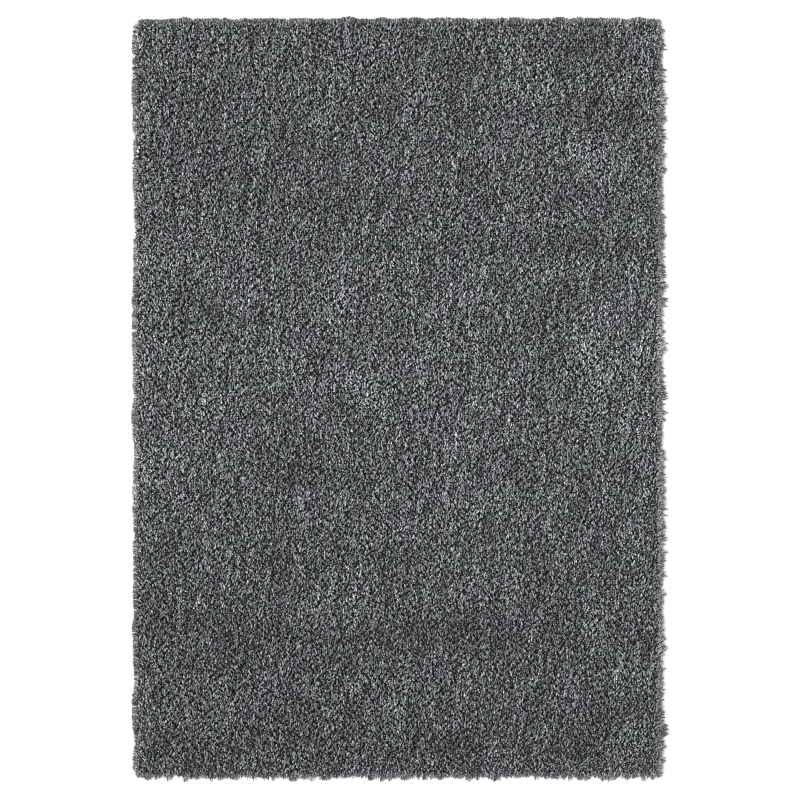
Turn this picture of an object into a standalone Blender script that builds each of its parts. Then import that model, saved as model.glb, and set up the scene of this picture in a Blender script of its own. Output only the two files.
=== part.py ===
"""Shag rug, 160 x 230 cm, lying flat: a woven ground cloth and the deep pile that stands on it.

Units are metres. +Z is up, +Y runs along the rug's length and the origin is on the floor, under
the middle of the rug. The pile is one lumpy slab whose rim is 298 tapered locks of yarn. Some of
them hang just clear of the floor, and the others lie on it.
"""

import math
import random

import bpy
from mathutils import Vector, geometry, noise

# The ground cloth: the size that the rug is sold by.
RUG_WIDTH = 1.600
RUG_LENGTH = 2.300
CLOTH_THICKNESS = 0.003
CORNER_RADIUS = 0.030
CLOTH_CORNER_STEPS = 6

# The pile. Heights are measured from the floor.
SEAT_GAP = 0.0003
PILE_TOP = 0.0275
SHOULDER_TOP = 0.0185
SHOULDER_WIDTH = 0.045
ROOT_OVERHANG = 0.005
LUMP_PITCH = 0.036
LUMP_JITTER = 0.32
# Wavelength and usual height of each size of lump in the pile's top.
LUMPS = ((0.420, 0.0010), (0.130, 0.0018), (0.066, 0.0020))

# The rim locks. Each starts from a stretch of the rim and is narrower at its middle, by a share
# of that stretch, and its tip leans along the rim.
LOCK_COUNT = 298
LOCK_PITCH_JITTER = 0.28
LOCK_REACH = 0.0088
LOCK_REACH_SPREAD = 0.0038
LOCK_MIDDLE = 0.52
LOCK_LEAN = 0.0075
LOCK_WAIST = (0.42, 0.66)
FLOOR_LOCK_SHARE = 0.55
# Lowest and highest point of a lock's middle, and its tip's height.
FLOOR_LOCK = (0.0000, 0.0058, 0.0000)
HANGING_LOCK = (0.0082, 0.0138, 0.0066)
RIM_WAVE = 0.0022
RIM_WAVELENGTH = 0.045
WALL_WAVE = 0.0012
RIM_SEED = 7

# Where the rim draws in between two clumps of locks, and where a clump stands out: the side, the
# place along it from the rug's middle, and how far the tips reach beyond the usual line.
RIM_CLUMPS = (
    ("left", 0.800, -0.0070),
    ("left", 0.500, -0.0060),
    ("left", 0.300, 0.0030),
    ("left", -0.345, 0.0040),
    ("left", -0.420, -0.0070),
    ("left", -0.960, 0.0038),
    ("left", -1.055, -0.0070),
    ("right", 0.980, -0.0080),
    ("right", 0.680, -0.0065),
    ("right", 0.015, -0.0060),
    ("right", -0.060, 0.0035),
    ("right", -0.185, 0.0042),
    ("right", -0.465, -0.0060),
    ("right", -0.595, -0.0075),
    ("right", -0.805, -0.0070),
    ("right", -0.950, -0.0085),
    ("top", -0.730, -0.0075),
    ("top", -0.505, -0.0060),
    ("bottom", -0.540, 0.0038),
    ("bottom", -0.475, -0.0050),
    ("bottom", -0.335, 0.0038),
    ("bottom", -0.140, -0.0060),
    ("bottom", 0.065, 0.0035),
    ("bottom", 0.405, -0.0065),
    ("bottom", 0.600, 0.0038),
)
CLUMP_WIDTH = 0.034

# Colours are linear, roughness is that of the fibre.
YARN_COLOUR = (0.100, 0.105, 0.108)
CLOTH_COLOUR = (0.300, 0.290, 0.270)


def clear_scene():
    for obj in list(bpy.data.objects):
        bpy.data.objects.remove(obj)


def fibre_material(name, colour, roughness):
    material = bpy.data.materials.new(name)
    material.use_nodes = True
    shader = material.node_tree.nodes["Principled BSDF"]
    shader.inputs["Base Color"].default_value = (*colour, 1.0)
    shader.inputs["Roughness"].default_value = roughness
    shader.inputs["Metallic"].default_value = 0.0
    return material


def mesh_object(name, points, faces, material):
    mesh = bpy.data.meshes.new(name)
    mesh.from_pydata(points, [], faces)
    mesh.materials.append(material)
    mesh.validate()
    obj = bpy.data.objects.new(name, mesh)
    bpy.context.scene.collection.objects.link(obj)
    return obj


def outline_at(distance, half_width, half_length, radius):
    """A point on a rectangle with round corners and its outward direction.

    The distance runs anticlockwise, seen from above, from the middle of the right-hand side.
    """
    straight_x = half_width - radius
    straight_y = half_length - radius
    quarter = math.pi / 2 * radius
    perimeter = 4 * (straight_x + straight_y + quarter)
    left = distance % perimeter
    runs = (
        (straight_y, (half_width, 0), (0, 1), (straight_x, straight_y), 0),
        (2 * straight_x, (straight_x, half_length), (-1, 0), (-straight_x, straight_y), 1),
        (2 * straight_y, (-half_width, straight_y), (0, -1), (-straight_x, -straight_y), 2),
        (2 * straight_x, (-straight_x, -half_length), (1, 0), (straight_x, -straight_y), 3),
        (straight_y, (half_width, -straight_y), (0, 1), None, 4),
    )
    for length, start, along, corner, quarter_turns in runs:
        if left <= length or corner is None:
            out = Vector((along[1], -along[0]))
            return Vector(start) + left * Vector(along), out
        left -= length
        if left <= quarter:
            angle = quarter_turns * math.pi / 2 + left / radius
            out = Vector((math.cos(angle), math.sin(angle)))
            return Vector(corner) + radius * out, out
        left -= quarter


def rim_length(half_width, half_length, radius):
    return 4 * (half_width + half_length - 2 * radius) + 2 * math.pi * radius


def distance_inside(x, y, half_width, half_length, radius):
    """How far a point lies inside a rectangle with round corners."""
    past_x = abs(x) - (half_width - radius)
    past_y = abs(y) - (half_length - radius)
    beyond = math.hypot(max(past_x, 0.0), max(past_y, 0.0))
    return radius - beyond - min(max(past_x, past_y), 0.0)


def smooth_step(share):
    share = min(max(share, 0.0), 1.0)
    return share * share * (3 - 2 * share)


def make_ground_cloth(material):
    """The flat cloth that the tufts are woven into, 3 mm thick, with its four round corners."""
    half_width, half_length = RUG_WIDTH / 2, RUG_LENGTH / 2
    corners = ((1, 1, 0), (-1, 1, 1), (-1, -1, 2), (1, -1, 3))
    ring = []
    for side_x, side_y, quarter_turns in corners:
        centre_x = side_x * (half_width - CORNER_RADIUS)
        centre_y = side_y * (half_length - CORNER_RADIUS)
        for step in range(CLOTH_CORNER_STEPS + 1):
            angle = (quarter_turns + step / CLOTH_CORNER_STEPS) * math.pi / 2
            ring.append(
                (centre_x + CORNER_RADIUS * math.cos(angle), centre_y + CORNER_RADIUS * math.sin(angle))
            )
    count = len(ring)
    points = [(x, y, 0.0) for x, y in ring] + [(x, y, CLOTH_THICKNESS) for x, y in ring]
    faces = [tuple(reversed(range(count))), tuple(range(count, 2 * count))]
    for i in range(count):
        after = (i + 1) % count
        faces.append((i, after, count + after, count + i))
    return mesh_object("ground_cloth", points, faces, material)


def lump_height(x, y):
    """How far the pile's top stands above or below its usual height at a place."""
    return sum(
        height * noise.noise(Vector((x / size, y / size, 10 * size)))
        for size, height in LUMPS
    ) * 2


def top_height(x, y, half_width, half_length, radius):
    """The pile's top: lumpy, and rounded down towards its rim."""
    inside = distance_inside(x, y, half_width, half_length, radius)
    shoulder = smooth_step(inside / SHOULDER_WIDTH)
    return SHOULDER_TOP + (PILE_TOP - SHOULDER_TOP) * shoulder + lump_height(x, y)


def lump_points(half_width, half_length, radius, draw):
    """Unevenly spaced places inside the rim for the points of the pile's top."""
    clear = 0.62 * LUMP_PITCH
    columns = round(2 * half_width / LUMP_PITCH)
    rows = round(2 * half_length / LUMP_PITCH)
    places = []
    for row in range(rows + 1):
        stagger = 0.5 * (row % 2)
        for column in range(columns + 1):
            x = -half_width + (column + stagger + LUMP_JITTER * draw.uniform(-1, 1)) * LUMP_PITCH
            y = -half_length + (row + LUMP_JITTER * draw.uniform(-1, 1)) * LUMP_PITCH
            if distance_inside(x, y, half_width, half_length, radius) > clear:
                places.append(Vector((x, y)))
    return places


def clump_reach(x, y):
    """How far the rim's clumps and notches carry the tips of the locks at a place."""
    half_width, half_length = RUG_WIDTH / 2, RUG_LENGTH / 2
    lines = {
        "left": (x < -half_width, y),
        "right": (x > half_width, y),
        "top": (y > half_length, x),
        "bottom": (y < -half_length, x),
    }
    reach = 0.0
    for side, place, extra in RIM_CLUMPS:
        on_side, along = lines[side]
        if on_side:
            reach += extra * math.exp(-(((along - place) / (CLUMP_WIDTH / 2)) ** 2))
    return reach


def rim_wave(place):
    """How far the rim's roots wander in or out of their line at a place."""
    return RIM_WAVE * noise.noise(Vector((place.x, place.y, 0)) / RIM_WAVELENGTH)


def lock_points(start, end, out, lies_on_floor, draw):
    """The four points round a lock's middle and its tip, outside the rim's stretch start to end."""
    low, high, tip_height = FLOOR_LOCK if lies_on_floor else HANGING_LOCK
    middle = (start + end) / 2
    along = (end - start) / 2
    spread = draw.uniform(-1, 1) * LOCK_REACH_SPREAD
    reach = LOCK_REACH + spread + clump_reach(middle.x, middle.y)
    lean = along.normalized() * draw.uniform(-1, 1) * LOCK_LEAN
    waist = along * draw.uniform(*LOCK_WAIST)
    centre = middle + out * reach * LOCK_MIDDLE + lean / 2
    tip = middle + out * reach + lean
    ring = [
        (*(centre - waist), low),
        (*(centre + waist), low),
        (*(centre + waist), high),
        (*(centre - waist), high),
    ]
    return ring, (*tip, tip_height)


def make_pile(material):
    """The pile, standing on the ground cloth: a lumpy slab whose side wall grows the rim locks."""
    half_width = RUG_WIDTH / 2 + ROOT_OVERHANG
    half_length = RUG_LENGTH / 2 + ROOT_OVERHANG
    radius = CORNER_RADIUS + ROOT_OVERHANG
    draw = random.Random(RIM_SEED)

    # The rim seen from above, one uneven stretch for each lock.
    step = rim_length(half_width, half_length, radius) / LOCK_COUNT
    rim, outward = [], []
    for i in range(LOCK_COUNT):
        distance = (i + LOCK_PITCH_JITTER * draw.uniform(-1, 1)) * step
        place, _ = outline_at(distance, half_width, half_length, radius)
        _, out = outline_at((i + 0.5) * step, half_width, half_length, radius)
        rim.append(place + rim_wave(place) * out)
        outward.append(out)

    # The top, triangulated between the rim and the lump points.
    inner = lump_points(half_width, half_length, radius, draw)
    flat, _, triangles, _, _, _ = geometry.delaunay_2d_cdt(
        rim + inner, [], [tuple(range(LOCK_COUNT))], 1, 1e-6
    )
    points = [
        (p.x, p.y, top_height(p.x, p.y, half_width, half_length, radius)) for p in flat
    ]
    faces = [tuple(triangle) for triangle in triangles]

    # The side wall has two bands, and the underside seats on the cloth.
    wall_low = CLOTH_THICKNESS + SEAT_GAP
    wall_middle = (wall_low + SHOULDER_TOP) / 2
    middle_start = len(points)
    points += [(p.x, p.y, wall_middle + WALL_WAVE * draw.uniform(-1, 1)) for p in rim]
    low_start = len(points)
    points += [(p.x, p.y, wall_low) for p in rim]
    faces.append(tuple(reversed(range(low_start, low_start + LOCK_COUNT))))

    for i in range(LOCK_COUNT):
        after = (i + 1) % LOCK_COUNT
        upper = (middle_start + i, middle_start + after, after, i)
        lower = (low_start + i, low_start + after, middle_start + after, middle_start + i)
        lies_on_floor = draw.random() < FLOOR_LOCK_SHARE
        root, plain = (lower, upper) if lies_on_floor else (upper, lower)
        faces.append(plain)

        ring, tip = lock_points(rim[i], rim[after], outward[i], lies_on_floor, draw)
        first = len(points)
        points += [*ring, tip]
        for corner in range(4):
            following = (corner + 1) % 4
            faces.append((root[corner], root[following], first + following, first + corner))
            faces.append((first + corner, first + following, first + 4))

    return mesh_object("shag_pile", points, faces, material)


def main():
    clear_scene()
    make_ground_cloth(fibre_material("woven_ground", CLOTH_COLOUR, 0.90))
    make_pile(fibre_material("pile_yarn", YARN_COLOUR, 0.85))


main()
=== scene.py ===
import math

import bpy
import numpy as np
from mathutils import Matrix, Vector, noise


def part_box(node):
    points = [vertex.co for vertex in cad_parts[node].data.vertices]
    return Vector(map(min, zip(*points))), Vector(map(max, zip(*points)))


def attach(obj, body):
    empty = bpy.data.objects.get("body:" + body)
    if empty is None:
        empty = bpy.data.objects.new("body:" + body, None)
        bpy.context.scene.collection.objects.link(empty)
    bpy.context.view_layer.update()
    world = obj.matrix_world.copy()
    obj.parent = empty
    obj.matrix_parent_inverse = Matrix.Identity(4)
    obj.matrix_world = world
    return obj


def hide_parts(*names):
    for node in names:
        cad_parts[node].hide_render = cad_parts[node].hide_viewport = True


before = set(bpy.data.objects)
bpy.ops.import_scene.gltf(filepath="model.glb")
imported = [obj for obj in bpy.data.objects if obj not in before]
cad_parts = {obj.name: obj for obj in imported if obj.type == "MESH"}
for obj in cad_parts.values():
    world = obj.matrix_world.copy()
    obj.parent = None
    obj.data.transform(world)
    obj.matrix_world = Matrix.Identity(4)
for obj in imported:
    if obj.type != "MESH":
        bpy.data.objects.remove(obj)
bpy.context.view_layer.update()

_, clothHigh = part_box("ground_cloth")

# A shag rug, lying on z = 0 with its length along Y. Sizes are in metres.
rugSize = {
    "halfWidth": clothHigh.x,
    "halfLength": clothHigh.y,
    "cornerRadius": 0.030,
    "clothThickness": clothHigh.z,
    "seatGap": 0.0003,           # between the ground cloth and the pile's roots
}

# Where the rim draws in between two clumps of yarn (minus) or a clump stands out (plus).
# "at" runs along the side from the rug's middle.
rimClumps = (
    {"side": "left", "at": 0.800, "reach": -0.0070},
    {"side": "left", "at": 0.500, "reach": -0.0060},
    {"side": "left", "at": 0.300, "reach": 0.0030},
    {"side": "left", "at": -0.345, "reach": 0.0040},
    {"side": "left", "at": -0.420, "reach": -0.0070},
    {"side": "left", "at": -0.960, "reach": 0.0038},
    {"side": "left", "at": -1.055, "reach": -0.0070},
    {"side": "right", "at": 0.980, "reach": -0.0080},
    {"side": "right", "at": 0.680, "reach": -0.0065},
    {"side": "right", "at": 0.015, "reach": -0.0060},
    {"side": "right", "at": -0.060, "reach": 0.0035},
    {"side": "right", "at": -0.185, "reach": 0.0042},
    {"side": "right", "at": -0.465, "reach": -0.0060},
    {"side": "right", "at": -0.595, "reach": -0.0075},
    {"side": "right", "at": -0.805, "reach": -0.0070},
    {"side": "right", "at": -0.950, "reach": -0.0085},
    {"side": "top", "at": -0.730, "reach": -0.0075},
    {"side": "top", "at": -0.505, "reach": -0.0060},
    {"side": "bottom", "at": -0.540, "reach": 0.0038},
    {"side": "bottom", "at": -0.475, "reach": -0.0050},
    {"side": "bottom", "at": -0.335, "reach": 0.0038},
    {"side": "bottom", "at": -0.140, "reach": -0.0060},
    {"side": "bottom", "at": 0.065, "reach": 0.0035},
    {"side": "bottom", "at": 0.405, "reach": -0.0065},
    {"side": "bottom", "at": 0.600, "reach": 0.0038},
)
clumpWidth = 0.034
sideFacing = {"left": (0, -1), "right": (0, 1), "bottom": (1, -1), "top": (1, 1)}   # axis and sign
cornerFacing = {"bottomLeft": (-1, -1), "bottomRight": (1, -1),
                "topRight": (1, 1), "topLeft": (-1, 1)}   # signs of x and y


def linear(hexColour):
    # sRGB hex to the linear colour that the shaders want
    channels = [int(hexColour[i:i + 2], 16) / 255 for i in (1, 3, 5)]
    return [c / 12.92 if c <= 0.04045 else ((c + 0.055) / 1.055) ** 2.4 for c in channels] + [1.0]


def addNode(tree, kind, settings=None, inputs=None):
    node = tree.nodes.new(kind)
    for name, value in (settings or {}).items():
        setattr(node, name, value)
    for name, value in (inputs or {}).items():
        if isinstance(value, bpy.types.NodeSocket):
            tree.links.new(value, node.inputs[name])
        else:
            node.inputs[name].default_value = value
    return node


def newMaterial(name):
    material = bpy.data.materials.new(name)
    material.use_nodes = True
    return material, material.node_tree, material.node_tree.nodes["Principled BSDF"]


def unit(vectors):
    return vectors / np.maximum(np.linalg.norm(vectors, axis=-1, keepdims=True), 1e-9)


def smoothStep(share):
    share = np.clip(share, 0, 1)
    return share * share * (3 - 2 * share)


def noiseAt(x, y, size, layer):
    # smooth noise of about -1..1 whose features are "size" wide
    return np.array([2 * noise.noise(Vector((a, b, layer))) for a, b in zip(x / size, y / size)])


def rimSense(x, y):
    # distance inside the cloth's rounded outline, and the outward direction there
    radius = rugSize["cornerRadius"]
    pastX = np.abs(x) - (rugSize["halfWidth"] - radius)
    pastY = np.abs(y) - (rugSize["halfLength"] - radius)
    fromCentre = np.hypot(np.maximum(pastX, 0), np.maximum(pastY, 0))
    inside = radius - fromCentre - np.minimum(np.maximum(pastX, pastY), 0)
    inCorner = (pastX > 0) & (pastY > 0)
    sideways = pastX > pastY
    outX = np.where(inCorner, np.sign(x) * pastX, np.where(sideways, np.sign(x), 0))
    outY = np.where(inCorner, np.sign(y) * pastY, np.where(sideways, 0, np.sign(y)))
    return inside, unit(np.stack([outX, outY], -1))


def clumpReach(x, y, out):
    # how much further, or less far, the yarn of a clump or notch reaches past the rim
    reach = np.zeros(len(x))
    for clump in rimClumps:
        axis, sign = sideFacing[clump["side"]]
        along = y if axis == 0 else x
        near = np.exp(-((along - clump["at"]) / (clumpWidth / 2)) ** 2)
        reach += (out[:, axis] * sign > 0.5) * clump["reach"] * near
    return reach


pileForm = {
    "height": 0.0275,            # top of the usual tuft above the floor
    "rimHeight": 0.0185,         # and at the rim, where the yarn falls over
    "shoulder": 0.045,           # how far in from the rim the pile gets its full height
    "lumps": ((0.420, 0.0010), (0.130, 0.0018), (0.066, 0.0020)),  # size, height
}


def pileTop(x, y):
    inside, _ = rimSense(x, y)
    rise = (pileForm["height"] - pileForm["rimHeight"]) * smoothStep(inside / pileForm["shoulder"])
    lumps = sum(height * noiseAt(x, y, size, 10 * size) for size, height in pileForm["lumps"])
    return pileForm["rimHeight"] + rise + lumps


# Painted light (plus) and painted shade (minus) where the pile lies over and so catches the light
# differently.
# Each is an ellipse turned by "turn" degrees; the first four are broad bands across and along the
# rug.
paintedNapLightMarks = (
    {"x": 0.000, "y": 0.060, "length": 9.00, "width": 1.100, "turn": 0, "tone": 0.11},
    {"x": 0.000, "y": -0.850, "length": 9.00, "width": 0.800, "turn": 0, "tone": -0.13},
    {"x": -0.800, "y": 0.000, "length": 9.00, "width": 0.200, "turn": 90, "tone": 0.05},
    {"x": 0.800, "y": 0.000, "length": 9.00, "width": 0.250, "turn": 90, "tone": 0.06},
    {"x": -0.097, "y": 0.010, "length": 0.190, "width": 0.060, "turn": -50, "tone": 0.60},
    {"x": 0.570, "y": 0.145, "length": 0.170, "width": 0.050, "turn": -55, "tone": 0.60},
    {"x": 0.310, "y": -0.310, "length": 0.200, "width": 0.120, "turn": -40, "tone": 0.10},
    {"x": -0.470, "y": 0.817, "length": 0.220, "width": 0.100, "turn": -20, "tone": 0.20},
    {"x": 0.540, "y": 0.755, "length": 0.180, "width": 0.100, "turn": -30, "tone": 0.48},
    {"x": 0.585, "y": 1.075, "length": 0.160, "width": 0.080, "turn": -10, "tone": -0.36},
    {"x": 0.615, "y": 0.890, "length": 0.160, "width": 0.080, "turn": -5, "tone": -0.45},
    {"x": -0.665, "y": -0.690, "length": 0.220, "width": 0.100, "turn": 0, "tone": -0.26},
    {"x": 0.127, "y": -0.714, "length": 0.240, "width": 0.100, "turn": 5, "tone": -0.27},
    {"x": 0.127, "y": -1.058, "length": 0.260, "width": 0.100, "turn": 0, "tone": -0.18},
)
# Faint lines across the rug where it was folded: painted light (plus) and painted shade (minus)
# where the pressed pile catches the light differently.
paintedFoldLightLines = (
    {"x": 0.450, "y": 0.940, "length": 0.800, "tone": 0.16},
    {"x": 0.350, "y": 0.850, "length": 0.700, "tone": -0.10},
    {"x": 0.000, "y": 0.588, "length": 9.000, "tone": -0.10},
    {"x": 0.350, "y": 0.535, "length": 1.200, "tone": 0.08},
    {"x": 0.420, "y": 0.460, "length": 1.100, "tone": -0.20},
    {"x": 0.000, "y": 0.410, "length": 9.000, "tone": 0.09},
    {"x": 0.400, "y": 0.009, "length": 0.900, "tone": -0.10},
    {"x": 0.000, "y": -0.240, "length": 9.000, "tone": -0.12},
    {"x": 0.300, "y": -0.312, "length": 1.200, "tone": 0.09},
    {"x": 0.000, "y": -0.735, "length": 9.000, "tone": -0.06},
    {"x": 0.000, "y": -0.865, "length": 9.000, "tone": 0.09},
    {"x": 0.000, "y": -1.047, "length": 9.000, "tone": -0.09},
)
foldWidth = 0.050
# Finer painted light and shade of the same kind, "stretch" times as long as wide.
paintedNapLightPatches = (
    {"width": 0.024, "stretch": 4.0, "tone": 0.17},
    {"width": 0.080, "stretch": 1.0, "tone": 0.06},
    {"width": 0.220, "stretch": 1.0, "tone": 0.07},
)
napSlant = 0.25      # patches and clumps run along the rug, leaning this much to the right
clumpStretch = 3.0   # and clumps are this many times as long as they are wide
# painted light (plus) and painted shade (minus) on the yarns nearest to each side, fading over
# "depth"
paintedRimLightAndShade = {"left": 0.26, "right": 0.02, "top": -0.09, "bottom": 0.02, "depth": 0.026}


def napNoise(x, y, size, layer, stretch=clumpStretch):
    # noise in patches that run along the rug
    return noiseAt(x - napSlant * y, y / stretch, size, layer)


# painted light and shade from the pile's lay, its folds and its rim, as a tone for each yarn
def paintedNapLightAndShade(x, y):
    tone = np.zeros(len(x))
    for mark in paintedNapLightMarks:
        turn = math.radians(mark["turn"])
        along = (x - mark["x"]) * math.cos(turn) + (y - mark["y"]) * math.sin(turn)
        across = (y - mark["y"]) * math.cos(turn) - (x - mark["x"]) * math.sin(turn)
        far = (2 * along / mark["length"]) ** 2 + (2 * across / mark["width"]) ** 2
        tone += mark["tone"] * np.exp(-far)
    for line in paintedFoldLightLines:
        far = (2 * (x - line["x"]) / line["length"]) ** 2 + (2 * (y - line["y"]) / foldWidth) ** 2
        tone += line["tone"] * np.exp(-far)
    for patch in paintedNapLightPatches:
        patchy = napNoise(x, y, patch["width"], 20 * patch["width"], patch["stretch"])
        tone += patch["tone"] * patchy
    inside, out = rimSense(x, y)
    for side, (facing, sign) in sideFacing.items():
        onSide = out[:, facing] * sign > 0.5
        tone += paintedRimLightAndShade[side] * onSide * np.exp(-np.maximum(inside, 0) / paintedRimLightAndShade["depth"])
    return tone


def linkMesh(name, points, corners, cornerCounts, material, uv=None, smooth=True):
    mesh = bpy.data.meshes.new(name)
    mesh.vertices.add(len(points))
    mesh.vertices.foreach_set("co", np.ascontiguousarray(points, np.float32).ravel())
    mesh.loops.add(len(corners))
    mesh.loops.foreach_set("vertex_index", np.ascontiguousarray(corners, np.int32))
    mesh.polygons.add(len(cornerCounts))
    starts = np.concatenate([[0], np.cumsum(cornerCounts)[:-1]])
    mesh.polygons.foreach_set("loop_start", starts.astype(np.int32))
    if uv is not None:
        layer = mesh.uv_layers.new(name="OFBake", do_init=False)
        layer.uv.foreach_set("vector", np.ascontiguousarray(uv, np.float32).ravel())
    mesh.update(calc_edges=True)
    if smooth:
        mesh.shade_smooth()
    else:
        mesh.shade_flat()
    mesh.materials.append(material)
    piece = bpy.data.objects.new(name, mesh)
    bpy.context.scene.collection.objects.link(piece)
    return piece


def roundCorners(x, y, halfWidth, halfLength, radius):
    # bends the corner squares of a grid into quarter discs
    pastX = np.maximum(np.abs(x) - (halfWidth - radius), 0) / radius
    pastY = np.maximum(np.abs(y) - (halfLength - radius), 0) / radius
    bentX = pastX * np.sqrt(1 - pastY ** 2 / 2)
    bentY = pastY * np.sqrt(1 - pastX ** 2 / 2)
    return x - np.sign(x) * (pastX - bentX) * radius, y - np.sign(y) * (pastY - bentY) * radius


def slabMesh(name, pitch, finish, plain, finishOnTop, material):
    # a slab of the cloth's outline, with one face gridded and shaped by finish(x, y) and the
    # other one flat at the height "plain"
    halfWidth, halfLength = rugSize["halfWidth"], rugSize["halfLength"]
    radius = rugSize["cornerRadius"]
    columns = round(2 * halfWidth / pitch)
    rows = round(2 * halfLength / pitch)
    acrossSteps = np.linspace(-halfWidth, halfWidth, columns + 1)
    alongSteps = np.linspace(-halfLength, halfLength, rows + 1)
    x, y = np.meshgrid(acrossSteps, alongSteps)
    x, y = roundCorners(x.ravel(), y.ravel(), halfWidth, halfLength, radius)
    grid = np.arange(len(x)).reshape(rows + 1, columns + 1)
    ring = np.concatenate([grid[0, :-1], grid[:-1, -1], grid[-1, :0:-1], grid[:0:-1, 0]])
    quads = np.stack([grid[:-1, :-1], grid[:-1, 1:], grid[1:, 1:], grid[1:, :-1]], -1)
    quads = quads.reshape(-1, 4)
    points = np.stack([x, y, finish(x, y)], -1)
    edge = points[ring].copy()
    edge[:, 2] = plain
    low = np.arange(len(ring)) + len(points)
    following = np.roll(np.arange(len(ring)), -1)
    wall = np.stack([low, low[following], ring[following], ring], -1)
    cap = low[::-1]
    if not finishOnTop:
        quads = quads[:, ::-1]
        wall = wall[:, ::-1]
        cap = cap[::-1]
    corners = np.concatenate([quads.ravel(), wall.ravel(), cap])
    counts = np.concatenate([np.full(len(quads) + len(wall), 4), [len(cap)]])
    return linkMesh(name, np.concatenate([points, edge]), corners, counts, material)


cellsPerSide = 128    # squares along each side of the yarns' maps, one for each yarn of a piece
cellInset = 0.06      # bare share at each side of a square


def yarnMesh(name, stops, radii, tone, material):
    # One three-sided yarn for each row of stops, from a point at its root to its cut end. Each
    # yarn has its own square of the map: u runs round it and v along it.
    yarns, stopCount, _ = stops.shape
    rings = stopCount - 1
    draw = np.random.default_rng(len(stops) + stopCount)
    onwards = np.concatenate([stops[:, 2:], stops[:, -1:]], 1)
    along = unit(onwards - np.concatenate([stops[:, :-2], stops[:, -2:-1]], 1))
    side = unit(np.cross(along, unit(draw.normal(size=(yarns, 1, 3)))))
    other = np.cross(along, side)
    turns = np.arange(3) / 3 * 2 * math.pi
    around = side[:, :, None] * np.cos(turns)[:, None] + other[:, :, None] * np.sin(turns)[:, None]
    ringPoints = stops[:, 1:, None] + around * radii[:, :, None, None]
    points = np.concatenate([stops[:, :1], ringPoints.reshape(yarns, rings * 3, 3)], 1)

    last = 3 * rings - 2
    faces = [(last, last + 1, last + 2)]
    faceU = [(0.5, 1.5, 2.5)]
    faceStop = [(rings, rings, rings)]
    for j in range(3):
        k = (j + 1) % 3
        faces.append((0, 1 + k, 1 + j))
        faceU.append((j + 0.5, j + 1, j))
        faceStop.append((0, 1, 1))
        for ring in range(rings - 1):
            low, high = 1 + 3 * ring, 4 + 3 * ring
            faces += [(low + j, low + k, high + k), (low + j, high + k, high + j)]
            faceU += [(j, j + 1, j + 1), (j, j + 1, j)]
            faceStop += [(ring + 1, ring + 1, ring + 2), (ring + 1, ring + 2, ring + 2)]
    perYarn = 3 * rings + 1
    corners = (np.array(faces)[None] + (np.arange(yarns) * perYarn)[:, None, None]).ravel()

    lengths = np.linalg.norm(np.diff(stops, axis=1), axis=-1)
    travelled = np.concatenate([np.zeros((yarns, 1)), np.cumsum(lengths, 1)], 1)
    share = travelled / travelled[:, -1:]
    u = cellInset + (1 - 2 * cellInset) * np.array(faceU).ravel() / 3
    v = cellInset + (1 - 2 * cellInset) * share[:, np.array(faceStop).ravel()]
    cell = np.arange(yarns)[:, None]
    uv = np.stack([cell % cellsPerSide + u, cell // cellsPerSide + v], -1) / cellsPerSide
    counts = np.full(yarns * len(faces), 3)
    piece = linkMesh(name, points.reshape(-1, 3), corners, counts, material, uv.reshape(-1, 2))
    # each yarn carries its painted light and shade as an attribute of its points
    paintedLightAndShade = piece.data.attributes.new("paintedLightAndShade", "FLOAT", "POINT")
    paintedLightAndShade.data.foreach_set("value", np.repeat(tone, perYarn).astype(np.float32))
    return piece


groundClothLook = {
    "thread": "#BDB5A4",
    "threadShade": "#8E8778",
    "knot": "#6E7173",
    "knotPitch": 0.010,       # the knots stand 5 by 8 mm apart: drawn coarser, so that they show
    "knotEdge": (0.25, 0.6),  # where a knot's colour starts and is full, as shares of its bulge
    "fibreSize": 0.004,       # slubs in the thread
    "bumpDepth": 0.0008,
    "bumpStrength": 0.7,
    "roughness": 0.92,
    "specular": 0.25,
    "ribPitch": 0.040,        # the rows of knots press ribs into the back
    "ribRelief": 0.0004,
    "plainRim": 0.020,        # which start this far from the edge
    "gridPitch": 0.025,
}


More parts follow.
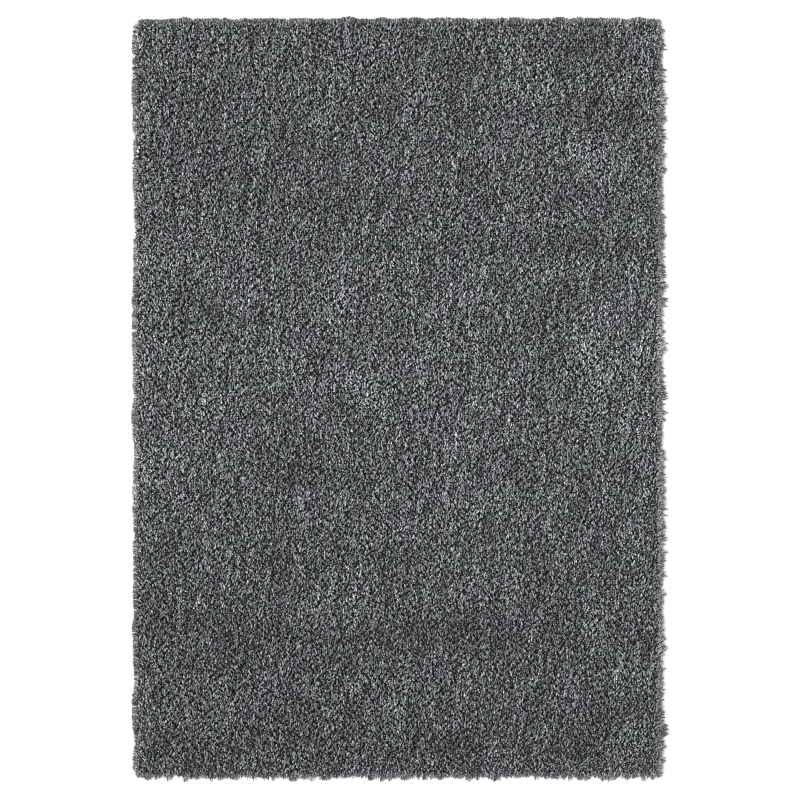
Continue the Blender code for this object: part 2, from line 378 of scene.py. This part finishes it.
def clothMaterial():
    # Undyed cotton canvas with the knots of the pile yarn showing on its back: matte, dry, ribbed.
    look = groundClothLook
    material, tree, shader = newMaterial("WovenCottonGround")
    place = addNode(tree, "ShaderNodeTexCoord").outputs["Object"]
    split = addNode(tree, "ShaderNodeSeparateXYZ", inputs={"Vector": place})
    waves = []
    for axis in ("X", "Y"):
        scaled = addNode(tree, "ShaderNodeMath", {"operation": "MULTIPLY"},
                         {0: split.outputs[axis], 1: 2 * math.pi / look["knotPitch"]})
        waves.append(addNode(tree, "ShaderNodeMath", {"operation": "SINE"}, {0: scaled.outputs[0]}))
    weave = addNode(tree, "ShaderNodeMath", {"operation": "MULTIPLY"},
                    {0: waves[0].outputs[0], 1: waves[1].outputs[0]})
    knots = addNode(tree, "ShaderNodeMapRange", {"interpolation_type": "SMOOTHSTEP"},
                    {"Value": weave.outputs[0], "From Min": look["knotEdge"][0],
                     "From Max": look["knotEdge"][1]})
    fibres = addNode(tree, "ShaderNodeTexNoise",
                     inputs={"Vector": place, "Scale": 1 / look["fibreSize"], "Detail": 3.0})
    thread = addNode(tree, "ShaderNodeMix", {"data_type": "RGBA"},
                     {"Factor": fibres.outputs["Fac"], 6: linear(look["thread"]),
                      7: linear(look["threadShade"])})
    colour = addNode(tree, "ShaderNodeMix", {"data_type": "RGBA"},
                     {"Factor": knots.outputs[0], 6: thread.outputs[2], 7: linear(look["knot"])})
    relief = addNode(tree, "ShaderNodeMath", {"operation": "ADD"},
                     {0: weave.outputs[0], 1: fibres.outputs["Fac"]})
    bump = addNode(tree, "ShaderNodeBump",
                   inputs={"Height": relief.outputs[0], "Distance": look["bumpDepth"],
                           "Strength": look["bumpStrength"]})
    tree.links.new(colour.outputs[2], shader.inputs["Base Color"])
    tree.links.new(bump.outputs[0], shader.inputs["Normal"])
    shader.inputs["Roughness"].default_value = look["roughness"]
    shader.inputs["Specular IOR Level"].default_value = look["specular"]
    return material


def makeGroundCloth():
    look = groundClothLook
    pitch = look["ribPitch"]

    def underside(x, y):
        ribs = np.cos(2 * math.pi * y / pitch) * np.cos(2 * math.pi * x / pitch)
        inside, _ = rimSense(x, y)
        return look["ribRelief"] * (1 + ribs) / 2 * smoothStep(inside / look["plainRim"])

    cloth = slabMesh("groundCloth", look["gridPitch"], underside, rugSize["clothThickness"], False,
                     clothMaterial())
    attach(cloth, "root")
    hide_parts("ground_cloth")
    return cloth


pileRootsLook = {
    # painted shade: the lower pile's yarn is drawn far darker than the field's, for the shade it
    # lies in
    "shade": "#2A2C2D",
    "yarn": "#5A5D5F",
    "yarnWidth": 0.0045,
    "paintedButtShadeEdge": (0.2, 0.7),   # painted shade between the yarn butts: where it starts and where it is full, in cell distance
    "bumpDepth": 0.002,
    "roughness": 0.95,
    "specular": 0.1,
    "height": 0.0105,
    "edgeHeight": 0.001,      # above the cloth, at its edge
    "roundOver": 0.014,       # how far in from there it is rounded
    "lumpSize": 0.035,
    "lumpHeight": 0.0012,
    "gridPitch": 0.016,
}


def rootsMaterial():
    # The lower pile, all yarn sides pressed together: painted near black for the shade it lies in,
    # with paler yarn butts and painted shade between them.
    look = pileRootsLook
    material, tree, shader = newMaterial("PackedYarnRoots")
    place = addNode(tree, "ShaderNodeTexCoord").outputs["Object"]
    cells = addNode(tree, "ShaderNodeTexVoronoi",
                    inputs={"Vector": place, "Scale": 1 / look["yarnWidth"]})
    tone = addNode(tree, "ShaderNodeMapRange",
                   inputs={"Value": cells.outputs["Distance"], "From Min": look["paintedButtShadeEdge"][0],
                           "From Max": look["paintedButtShadeEdge"][1]})
    colour = addNode(tree, "ShaderNodeMix", {"data_type": "RGBA"},
                     {"Factor": tone.outputs[0], 6: linear(look["yarn"]), 7: linear(look["shade"])})
    bump = addNode(tree, "ShaderNodeBump", {"invert": True},
                   {"Height": cells.outputs["Distance"], "Distance": look["bumpDepth"],
                    "Strength": 1.0})
    tree.links.new(colour.outputs[2], shader.inputs["Base Color"])
    tree.links.new(bump.outputs[0], shader.inputs["Normal"])
    shader.inputs["Roughness"].default_value = look["roughness"]
    shader.inputs["Specular IOR Level"].default_value = look["specular"]
    return material


def makePileRoots():
    look = pileRootsLook
    floor = rugSize["clothThickness"] + rugSize["seatGap"]

    def top(x, y):
        inside, _ = rimSense(x, y)
        share = np.clip(inside / look["roundOver"], 0, 1)
        rounded = np.sqrt(np.clip(1 - (1 - share) ** 2, 0, 1))
        lumps = look["lumpHeight"] * noiseAt(x, y, look["lumpSize"], 4.0)
        return floor + look["edgeHeight"] + (look["height"] - floor + lumps) * rounded

    return slabMesh("pileRoots", look["gridPitch"], top, floor, True, rootsMaterial())


yarnLook = {
    "rowPitch": 0.0053,       # between the rows of yarn, which run along the cloth
    "stitchPitch": 0.0080,    # between the yarns of a row
    "stray": 0.34,            # how far a yarn stands off its place, as a share of these
    "bareEdge": 0.002,        # no yarn stands nearer to the cloth's edge than this
    "radius": 0.0026,         # where a yarn bends over
    "radiusSpread": 0.20,
    "endRadius": 0.85,        # and of its cut end, as a share of that
    "rootHeight": 0.0060,
    "fallTurn": 83.0,         # the yarns fall up or down this line, in degrees from the rug's width
    "turnOver": (-3.0, 3.0),  # the line turns this far to the rug's right side, and to its top
    "turnPatch": 20.0,        # patches of yarns turn off it this far
    "turnSpread": 11.0,       # and each yarn by itself this far
    "fall": 0.0101,           # how far a yarn's end falls
    "fallSpread": 0.35,
    "leastFall": 0.2,         # as a share of "fall"
    "downShare": 0.22,        # how many fall down the line
    "patchSize": 0.024,       # size of the patches that fall alike
    "patchShare": 0.12,       # how strongly they do
    "ownShare": 0.35,         # and how strongly each yarn falls by itself
    "clumpSize": 0.030,       # yarns lean together in clumps this wide
    "clumpLean": 0.0030,
    "smallClumps": (2.2, 0.6),   # and in clumps this much narrower, with this share of the lean
    "streakSize": 0.009,      # and stand a little higher or lower together
    "streakHeight": 0.0020,
    "nap": (-0.0008, -0.0024),   # the whole pile leans this way
    "rimLean": 0.0100,        # and outwards at the rim
    "rimLeanDepth": 0.014,
    # the share of the rim tufts' reach that these yarns may cover
    "coverRim": {"left": 0.75, "right": 0.45, "top": 0.75, "bottom": 0.50},
    "heightSpread": 0.0027,
    "paintedHeightLight": 0.10,       # painted light and shade: a yarn that stands higher is lighter by this share, as though lit more
    "bendShare": 0.30,        # how far along its fall a yarn bends over
    "droop": 0.30,            # and how steeply it falls from there
    "dyeSpread": (0.82, 1.18),
    "rowColour": 0.48,        # how much a yarn takes after its row, which is one long yarn
    "rowChange": 0.040,       # how far along the row its dye changes
    "rowsApart": 9.7,         # in the noise that gives each row its own dye
    "ownColour": 0.12,        # and how much of a yarn's colour is its own
    "besideReach": 3,         # a yarn is unlike this many yarns on either side of it
    "alongReach": 1,          # and this many before and after it in its row
    "mostHeight": 0.0385,
}

# One piece for each colour of yarn. "lift" is how far its ends stand above the usual height.
yarnKinds = (
    {"name": "whiteYarnTufts", "material": "SmokeWhiteTwistedYarn",
     "light": "#C7C9CA", "dark": "#919496", "lift": 0.0008},
    {"name": "paleYarnTufts", "material": "PaleGreyTwistedYarn",
     "light": "#BCBEBF", "dark": "#838688", "lift": 0.0006},
    {"name": "silverYarnTufts", "material": "SilverGreyTwistedYarn",
     "light": "#B2B4B6", "dark": "#777A7C", "lift": 0.0004},
    {"name": "ashYarnTufts", "material": "AshGreyTwistedYarn",
     "light": "#A7ABAC", "dark": "#6F7273", "lift": 0.0002},
    {"name": "steelYarnTufts", "material": "SteelGreyTwistedYarn",
     "light": "#9EA2A3", "dark": "#686B6C", "lift": -0.0001},
    {"name": "slateYarnTufts", "material": "SlateGreyTwistedYarn",
     "light": "#979A9B", "dark": "#5D6466", "lift": -0.0004},
    {"name": "graphiteYarnTufts", "material": "GraphiteTwistedYarn",
     "light": "#8B8E91", "dark": "#585B5C", "lift": -0.0008},
    {"name": "charcoalYarnTufts", "material": "CharcoalTwistedYarn",
     "light": "#7F8485", "dark": "#4C5152", "lift": -0.0013},
)


yarnFinish = {
    "twists": 3.0,            # a 30 mm yarn's plies wind round it this often: every 10 mm
    "plyBlend": 0.6,          # how softly one ply's colour goes over into the other's
    "plyRelief": 0.0005,
    "plyReliefStrength": 0.6,
    "paintedRootShade": 0.80,         # painted shade: a yarn's tone at its root, darker as though shaded by the pile around it
    "paintedRootShadeFade": (0.10, 0.75),    # and where along the yarn that starts and ends to fade
    "hues": ((0.970, 1.0, 0.910), (1.030, 1.0, 1.090)),   # the dye drifts from olive to blue
    "hueSize": 0.110,
    "hueDetail": 6.0,
    "hueRoughness": 0.62,
    "hueEnds": (0.25, 0.75),     # where in the noise each hue is full
    "roughness": 0.72,
    "specular": 0.35,
    "sheen": 0.10,
    "sheenRoughness": 0.5,
}


def yarnMaterial(name, light, dark, dyeSpread):
    # Heat-set two-ply polypropylene yarn: soft, slightly lustrous, with a paler and a darker ply.
    look = yarnFinish
    material, tree, shader = newMaterial(name)
    uv = addNode(tree, "ShaderNodeUVMap", {"uv_map": "OFBake"}).outputs["UV"]
    scaled = addNode(tree, "ShaderNodeVectorMath", {"operation": "SCALE"},
                     {0: uv, "Scale": float(cellsPerSide)})
    cell = addNode(tree, "ShaderNodeVectorMath", {"operation": "FLOOR"}, {0: scaled.outputs[0]})
    inCell = addNode(tree, "ShaderNodeVectorMath", {"operation": "FRACTION"},
                     {0: scaled.outputs[0]})
    split = addNode(tree, "ShaderNodeSeparateXYZ", inputs={"Vector": inCell.outputs[0]})
    chance = addNode(tree, "ShaderNodeTexWhiteNoise", {"noise_dimensions": "2D"},
                     {"Vector": cell.outputs[0]})

    # the plies wind round the yarn
    turns = addNode(tree, "ShaderNodeMath", {"operation": "MULTIPLY_ADD"},
                    {0: split.outputs["Y"], 1: look["twists"], 2: split.outputs["X"]})
    shifted = addNode(tree, "ShaderNodeMath", {"operation": "ADD"},
                      {0: turns.outputs[0], 1: chance.outputs["Value"]})
    angle = addNode(tree, "ShaderNodeMath", {"operation": "MULTIPLY"},
                    {0: shifted.outputs[0], 1: 2 * math.pi})
    ply = addNode(tree, "ShaderNodeMath", {"operation": "SINE"}, {0: angle.outputs[0]})
    mixed = addNode(tree, "ShaderNodeMapRange", {"interpolation_type": "SMOOTHSTEP"},
                    {"Value": ply.outputs[0], "From Min": -look["plyBlend"],
                     "From Max": look["plyBlend"]})
    plies = addNode(tree, "ShaderNodeMix", {"data_type": "RGBA"},
                    {"Factor": mixed.outputs[0], 6: linear(light), 7: linear(dark)})

    # No two yarns took the dye alike, each is darker towards its root as painted shade, and painted
    # light and shade from the lay of the pile makes whole places lighter or darker.
    dye = addNode(tree, "ShaderNodeMapRange",
                  inputs={"Value": chance.outputs["Value"], "To Min": dyeSpread[0],
                          "To Max": dyeSpread[1]})
    # painted shade: each yarn darkens towards its root, as though shaded by the pile around it
    fadeStart, fadeEnd = look["paintedRootShadeFade"]
    depth = addNode(tree, "ShaderNodeMapRange", {"interpolation_type": "SMOOTHSTEP"},
                    {"Value": split.outputs["Y"], "From Min": fadeStart, "From Max": fadeEnd,
                     "To Min": look["paintedRootShade"]})
    # the painted light and shade that each yarn carries, from the pile's lay and its rim
    paintedLightAndShade = addNode(tree, "ShaderNodeAttribute", {"attribute_name": "paintedLightAndShade"})
    dyed = addNode(tree, "ShaderNodeMath", {"operation": "MULTIPLY"},
                   {0: dye.outputs[0], 1: depth.outputs[0]})
    shade = addNode(tree, "ShaderNodeMath", {"operation": "MULTIPLY"},
                    {0: dyed.outputs[0], 1: paintedLightAndShade.outputs["Fac"]})
    toned = addNode(tree, "ShaderNodeVectorMath", {"operation": "SCALE"},
                    {0: plies.outputs[2], "Scale": shade.outputs[0]})

    # the dye's hue drifts over the rug: sockets 7 to 10 are the ends of the range, from and to
    place = addNode(tree, "ShaderNodeTexCoord").outputs["Object"]
    drift = addNode(tree, "ShaderNodeTexNoise",
                    inputs={"Vector": place, "Scale": 1 / look["hueSize"],
                            "Detail": look["hueDetail"], "Roughness": look["hueRoughness"]})
    oliveEnd, blueEnd = look["hueEnds"]
    olive, blue = look["hues"]
    hue = addNode(tree, "ShaderNodeMapRange", {"data_type": "FLOAT_VECTOR"},
                  {"Vector": drift.outputs["Fac"], 7: (oliveEnd,) * 3, 8: (blueEnd,) * 3,
                   9: olive, 10: blue})
    colour = addNode(tree, "ShaderNodeVectorMath", {"operation": "MULTIPLY"},
                     {0: toned.outputs[0], 1: hue.outputs[1]})
    bump = addNode(tree, "ShaderNodeBump",
                   inputs={"Height": ply.outputs[0], "Distance": look["plyRelief"],
                           "Strength": look["plyReliefStrength"]})
    tree.links.new(colour.outputs[0], shader.inputs["Base Color"])
    tree.links.new(bump.outputs[0], shader.inputs["Normal"])
    shader.inputs["Roughness"].default_value = look["roughness"]
    shader.inputs["Specular IOR Level"].default_value = look["specular"]
    shader.inputs["Sheen Weight"].default_value = look["sheen"]
    shader.inputs["Sheen Roughness"].default_value = look["sheenRoughness"]
    return material


rimLook = {
    "tuftPitch": 0.0095,      # spacing of the tufts along the rim
    "stray": 0.35,            # how far a tuft stands off its place, as a share of that
    "yarnsPerTuft": 7,
    "tuftWidth": 0.0052,      # half the width of a tuft along the rim
    "endWidth": 0.95,         # the share of that width at its ends
    "roundness": 0.0012,      # how far a tuft's outer yarns fall short of its middle ones
    # how far the tufts reach past the cloth's edge, and how much further at the corners
    "reach": {"left": 0.0131, "right": 0.0117, "top": 0.0121, "bottom": 0.0141},
    "cornerReach": {"bottomLeft": 0.0075, "bottomRight": 0.0080,
                    "topRight": 0.0040, "topLeft": 0.0025},
    # how much that differs in clumps, from tuft to tuft and from yarn to yarn
    "clumpReach": {"left": 0.0036, "right": 0.0060, "top": 0.0040, "bottom": 0.0060},
    "clumpSize": 0.034,
    "ragged": {"left": 0.0001, "right": 0.0066, "top": 0.0010, "bottom": 0.0048},
    "endSpread": {"left": 0.0001, "right": 0.0040, "top": 0.0005, "bottom": 0.0034},
    # all but the few long yarns are shorter by this
    "shortBy": {"left": 0.0010, "right": 0.0060, "top": 0.0010, "bottom": 0.0045},
    "longShare": 0.28,
    "upperShort": 0.25,       # a tuft's upper yarns reach less far, by up to this share
    "leastReach": 0.002,
    "mostReach": 0.0235,
    # from a tuft's lowest yarns to its upper ones
    "rootInset": (0.002, 0.020),
    "rootHeight": (0.006, 0.014),
    "archHeight": (0.009, 0.022),
    "archAt": 0.45,           # share of the way out where a yarn arches
    "endHeight": (0.0027, 0.0125),
    "endStray": 0.25,         # share of that range by which an end strays
    "swing": 0.0030,          # how far a tuft's end swings along the rim
    "ownSwing": 0.6,          # and how much of that isn't shared with its neighbours
    "yarnSwing": 0.0042,      # and how far each of its yarns swings besides
    "radius": 0.0020,
    "radiusRange": (0.8, 1.2),
    "endRadius": 0.8,
    "offFloor": 1.35,         # a yarn's middle line stays this many radii above the floor
    # painted light and shade on each side's rim tufts: mostly painted shade, darkening them against
    # the light they catch there
    "tone": {"left": -0.62, "right": 0.02, "top": -0.32, "bottom": -0.32},
    "light": "#A2A4A6",
    "dark": "#66696C",
    "dyeSpread": (0.22, 2.05),
}


def sideValues(table, out):
    # a value for each side, blended round the corners
    return sum(table[side] * np.maximum(out[:, axis] * sign, 0) ** 2
               for side, (axis, sign) in sideFacing.items())


def rimReach(x, y, out):
    # how far the pile reaches past the cloth's edge at each place along it
    reach = sideValues(rimLook["clumpReach"], out) * noiseAt(x, y, rimLook["clumpSize"], 7.0)
    for corner, extra in rimLook["cornerReach"].items():
        side, end = cornerFacing[corner]
        reach += extra * 2 * np.maximum(out[:, 0] * side, 0) * np.maximum(out[:, 1] * end, 0)
    return reach + sideValues(rimLook["reach"], out) + clumpReach(x, y, out)


def unlikeBeside(values, columns, reach):
    # takes off each yarn's value the mean of the yarns beside it, so that no broad patches form
    grid = np.pad(values.reshape(-1, columns), ((0, 0), (reach, reach)), mode="reflect")
    beside = sum(grid[:, i:i + columns] for i in range(2 * reach + 1)) / (2 * reach + 1)
    return values - beside.ravel()


def unlikeAlong(values, columns, reach):
    # and here the mean of the yarns before and after it in its row
    grid = values.reshape(-1, columns)
    rows = len(grid)
    grid = np.pad(grid, ((reach, reach), (0, 0)), mode="reflect")
    near = sum(grid[i:i + rows] for i in range(2 * reach + 1)) / (2 * reach + 1)
    return values - near.ravel()


def mixedYarns(draw, columns, count):
    # random values that differ between neighbours, both beside and along the rows
    reach = yarnLook["besideReach"]
    values = unlikeBeside(draw.normal(size=count), columns, reach)
    return unlikeAlong(values, columns, yarnLook["alongReach"])


def clumpNoise(x, y, layer):
    # noise that a clump of yarns shares, with smaller clumps in it
    size = yarnLook["clumpSize"]
    narrower, share = yarnLook["smallClumps"]
    return napNoise(x, y, size, layer) + share * napNoise(x, y, size / narrower, layer + 1)


def layFieldYarns(draw):
    # root, bend and cut end of every yarn of the field, in rows along the cloth
    look = yarnLook
    columns = round(2 * rugSize["halfWidth"] / look["rowPitch"])
    rows = round(2 * rugSize["halfLength"] / look["stitchPitch"])
    column, row = (v.ravel() for v in np.meshgrid(np.arange(columns), np.arange(rows)))
    strayX, strayY = look["stray"] * draw.uniform(-1, 1, (2, column.size))
    x = (column + 0.5 - columns / 2 + strayX) * look["rowPitch"]
    y = (row + 0.5 - rows / 2 + strayY) * look["stitchPitch"]

    # the paler a yarn, the higher its score
    lanes = zip(look["rowsApart"] * column, y / look["rowChange"])
    alongRow = [2 * noise.noise(Vector((lane, along, 6.0))) for lane, along in lanes]
    score = unlikeBeside(look["rowColour"] * np.array(alongRow), columns, look["besideReach"])
    score += look["ownColour"] * mixedYarns(draw, columns, column.size)
    standing = mixedYarns(draw, columns, column.size)
    falling = mixedYarns(draw, columns, column.size)

    inside, out = rimSense(x, y)
    kept = inside > look["bareEdge"]
    x, y, inside, out = x[kept], y[kept], inside[kept], out[kept]
    score, standing, falling = score[kept], standing[kept], falling[kept]
    count = len(x)

    # each yarn leans with its clump and with the whole nap, outwards near the rim, and falls
    # over up or down the rug
    lean = np.stack([clumpNoise(x, y, 1.0), clumpNoise(x, y, 3.0)], -1)
    lean = lean * look["clumpLean"] + np.array(look["nap"])
    atRim = np.exp(-inside / look["rimLeanDepth"])[:, None]
    lean += out * (look["rimLean"] + clumpReach(x, y, out))[:, None] * atRim
    patch = look["patchSize"]
    turn = look["fallTurn"] + look["turnPatch"] * napNoise(x, y, patch, 8.0)
    toRight, toTop = look["turnOver"]
    turn += toRight * x / rugSize["halfWidth"] + toTop * y / rugSize["halfLength"]
    turn = np.radians(turn + look["turnSpread"] * draw.normal(size=count))
    upOrDown = look["patchShare"] * napNoise(x, y, patch, 9.0) + look["ownShare"] * falling
    upOrDown = np.argsort(np.argsort(upOrDown)) / count
    spread = 1 + look["fallSpread"] * draw.normal(size=count)
    fall = look["fall"] * np.maximum(spread, look["leastFall"])
    fall *= np.where(upOrDown < look["downShare"], -1, 1)
    lean += np.stack([np.cos(turn), np.sin(turn)], -1) * fall[:, None]

    # no yarn of the field falls further out than the rim's own tufts do
    outward = np.sum(lean * out, -1)
    nearRim = inside < pileForm["shoulder"]
    allowed = np.full(count, np.inf)
    beyond = rimReach(x[nearRim], y[nearRim], out[nearRim])
    beyond = sideValues(look["coverRim"], out[nearRim]) * beyond
    allowed[nearRim] = inside[nearRim] + beyond
    lean -= out * np.maximum(outward - allowed, 0)[:, None]

    top = pileTop(x, y) + look["heightSpread"] * standing
    top += look["streakHeight"] * napNoise(x, y, look["streakSize"], 5.0)
    top = np.minimum(top, look["mostHeight"])
    root = np.stack([x, y, np.full(count, look["rootHeight"])], -1)
    share = look["bendShare"]
    bend = np.stack([x + share * lean[:, 0], y + share * lean[:, 1], top], -1)
    drooped = top - look["droop"] * np.linalg.norm(lean, axis=-1)
    end = np.stack([x + lean[:, 0], y + lean[:, 1], drooped], -1)
    # painted light and shade: the pile's lay, its folds and rim, and yarns that stand higher made
    # lighter
    tone = 1 + paintedNapLightAndShade(x, y) + look["paintedHeightLight"] * standing
    order = np.argsort(np.argsort(score)) / count
    return np.stack([root, bend, end], 1), tone, order


def rimPlaces(spacing):
    # evenly spaced places round the cloth's outline with their outward directions
    halfWidth, halfLength = rugSize["halfWidth"], rugSize["halfLength"]
    radius = rugSize["cornerRadius"]
    places, outs = [], []
    for quarter in range(4):
        turn = quarter * math.pi / 2
        acrossHalf, alongHalf = (halfWidth, halfLength)
        if quarter % 2:
            acrossHalf, alongHalf = alongHalf, acrossHalf
        straight = 2 * (alongHalf - radius)
        for step in range(round(straight / spacing)):
            shift = (step + 0.5) * spacing - straight / 2
            places.append((acrossHalf, shift, turn))
            outs.append(turn)
        arcSteps = max(round(math.pi / 2 * radius / spacing), 1)
        for step in range(arcSteps):
            angle = (step + 0.5) / arcSteps * math.pi / 2
            places.append((acrossHalf - radius + radius * math.cos(angle),
                           alongHalf - radius + radius * math.sin(angle), turn))
            outs.append(turn + angle)
    across, along, turn = np.array(places).T
    x = across * np.cos(turn) - along * np.sin(turn)
    y = across * np.sin(turn) + along * np.cos(turn)
    outs = np.array(outs)
    return x, y, np.stack([np.cos(outs), np.sin(outs)], -1)


def makeRimYarns():
    # tufts that arch over the rim and lie out on the floor, rounded and a little uneven
    look = rimLook
    draw = np.random.default_rng(77)
    x, y, out = rimPlaces(look["tuftPitch"])
    tufts = len(x)
    aside = np.stack([-out[:, 1], out[:, 0]], -1)
    stray = draw.uniform(-look["stray"], look["stray"], tufts)
    edge = np.stack([x, y], -1) + aside * stray[:, None] * look["tuftPitch"]
    reach = rimReach(x, y, out) + sideValues(look["ragged"], out) * draw.normal(size=tufts)
    swing = look["ownSwing"] * draw.normal(size=tufts) + noiseAt(x, y, look["clumpSize"], 8.0)

    each = look["yarnsPerTuft"]
    count = tufts * each
    perTuft = (edge, out, aside, reach, swing)
    edge, out, aside, reach, swing = (np.repeat(values, each, 0) for values in perTuft)
    swing = look["swing"] * swing + look["yarnSwing"] * draw.normal(size=count)
    tier = draw.uniform(0, 1, count)
    across = (np.tile(np.arange(each), tufts) + draw.uniform(0, 1, count)) / each * 2 - 1
    reach = reach * (1 - look["upperShort"] * tier) - look["roundness"] * across ** 2
    reach += sideValues(look["endSpread"], out) * draw.normal(size=count)
    reach -= sideValues(look["shortBy"], out) * (draw.uniform(0, 1, count) > look["longShare"])
    reach = np.clip(reach, look["leastReach"], look["mostReach"])

    def between(span, share):
        return span[0] + (span[1] - span[0]) * share

    root = edge - out * between(look["rootInset"], draw.uniform(0, 1, count))[:, None]
    endTier = np.clip(tier + look["endStray"] * draw.normal(size=count), 0, 1)

    def stop(share, z):
        width = look["tuftWidth"] * (1 - share + share * look["endWidth"])
        flat = root + (edge + out * reach[:, None] - root) * share
        return np.column_stack([flat + aside * (across * width + swing * share)[:, None], z])

    stops = np.stack([
        stop(0.0, between(look["rootHeight"], tier)),
        stop(look["archAt"], between(look["archHeight"], tier)),
        stop(1.0, between(look["endHeight"], endTier)),
    ], 1)
    stops[:, 1:, 2] = np.maximum(stops[:, 1:, 2], look["radius"] * look["offFloor"])
    radii = look["radius"] * draw.uniform(*look["radiusRange"], (count, 1))
    radii = radii * np.array([1, look["endRadius"]])
    # painted light and shade: the pile's lay and each side's rim tone
    tone = 1 + paintedNapLightAndShade(edge[:, 0], edge[:, 1]) + sideValues(look["tone"], out)
    print("rimYarnTufts", count, "yarns")
    material = yarnMaterial("HeatherGreyTwistedYarn", look["light"], look["dark"],
                            look["dyeSpread"])
    return yarnMesh("rimYarnTufts", stops, radii, tone, material)


def makeFieldYarns():
    look = yarnLook
    draw = np.random.default_rng(41)
    stops, tone, order = layFieldYarns(draw)
    count = len(stops)
    radii = look["radius"] * (1 + look["radiusSpread"] * draw.uniform(-1, 1, (count, 1)))
    radii = radii * np.array([1, look["endRadius"]])
    chosen = ((1 - order) * len(yarnKinds)).astype(int).clip(0, len(yarnKinds) - 1)
    pieces = []
    for i, kind in enumerate(yarnKinds):
        mine = chosen == i
        raised = stops[mine].copy()
        raised[:, 1:, 2] += kind["lift"]
        material = yarnMaterial(kind["material"], kind["light"], kind["dark"], look["dyeSpread"])
        pieces.append(yarnMesh(kind["name"], raised, radii[mine], tone[mine], material))
        print(kind["name"], mine.sum(), "yarns")
    return pieces


stageLook = {
    "metresAcrossPicture": 2.44,
    "lens": 135.0,
    "sensor": 36.0,
    "rugCentreInPicture": (398.3, 397.85),   # in pixels of the 800 by 800 picture
    "pictureSide": 800,
    "filterWidth": 1.12,      # of the picture's pixels
    "floor": "#F7F7F7",
    "floorHalf": 30.0,        # far enough for the low views
    "floorGap": 0.0004,       # just under the rug
    "skyStrength": 0.61,
    "sunStrength": 2.37,
    "sunAngle": 25.0,
    "sunTilt": (5.0, 30.0),   # degrees towards the bottom of the picture and to its left
}


def makeStage():
    look = stageLook
    scene = bpy.context.scene

    material, tree, shader = newMaterial("MattePaintedFloor")
    place = addNode(tree, "ShaderNodeTexCoord").outputs["Object"]
    grain = addNode(tree, "ShaderNodeTexNoise", inputs={"Vector": place, "Scale": 40.0})
    bump = addNode(tree, "ShaderNodeBump",
                   inputs={"Height": grain.outputs["Fac"], "Distance": 0.0002})
    tree.links.new(bump.outputs[0], shader.inputs["Normal"])
    shader.inputs["Base Color"].default_value = linear(look["floor"])
    shader.inputs["Roughness"].default_value = 0.9
    half, low = look["floorHalf"], -look["floorGap"]
    corners = [(-half, -half, low), (half, -half, low), (half, half, low), (-half, half, low)]
    floor = linkMesh("floor", np.array(corners), np.arange(4), np.array([4]), material,
                     smooth=False)

    world = bpy.data.worlds.new("SoftStudio")
    world.use_nodes = True
    world.node_tree.nodes["Background"].inputs["Color"].default_value = linear("#FFFFFF")
    world.node_tree.nodes["Background"].inputs["Strength"].default_value = look["skyStrength"]
    scene.world = world
    sun = bpy.data.objects.new("softKey", bpy.data.lights.new("softKey", "SUN"))
    sun.data.energy = look["sunStrength"]
    sun.data.angle = math.radians(look["sunAngle"])
    tiltX, tiltY = look["sunTilt"]
    sun.rotation_euler = (-math.radians(tiltX), -math.radians(tiltY), 0)
    scene.collection.objects.link(sun)

    camera = bpy.data.objects.new("overhead", bpy.data.cameras.new("overhead"))
    camera.data.lens = look["lens"]
    camera.data.sensor_width = look["sensor"]
    metresPerPixel = look["metresAcrossPicture"] / look["pictureSide"]
    centre = [(look["pictureSide"] / 2 - p) * metresPerPixel for p in look["rugCentreInPicture"]]
    height = look["metresAcrossPicture"] * look["lens"] / look["sensor"]
    camera.location = (centre[0], -centre[1], height + pileForm["height"])
    scene.collection.objects.link(camera)
    scene.camera = camera
    scene.view_settings.view_transform = "Standard"
    # a plain, sharp picture: the pile's fine yarns would melt together under the denoiser
    scene.cycles.filter_width = look["filterWidth"]
    scene.cycles.use_denoising = False
    return floor


floor = makeStage()
print("stage ready")
cloth = makeGroundCloth()
print("ground cloth ready")
pilePieces = [makePileRoots(), *makeFieldYarns(), makeRimYarns()]
for piece in pilePieces:
    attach(piece, "root")
    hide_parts("shag_pile")
print("pile ready")
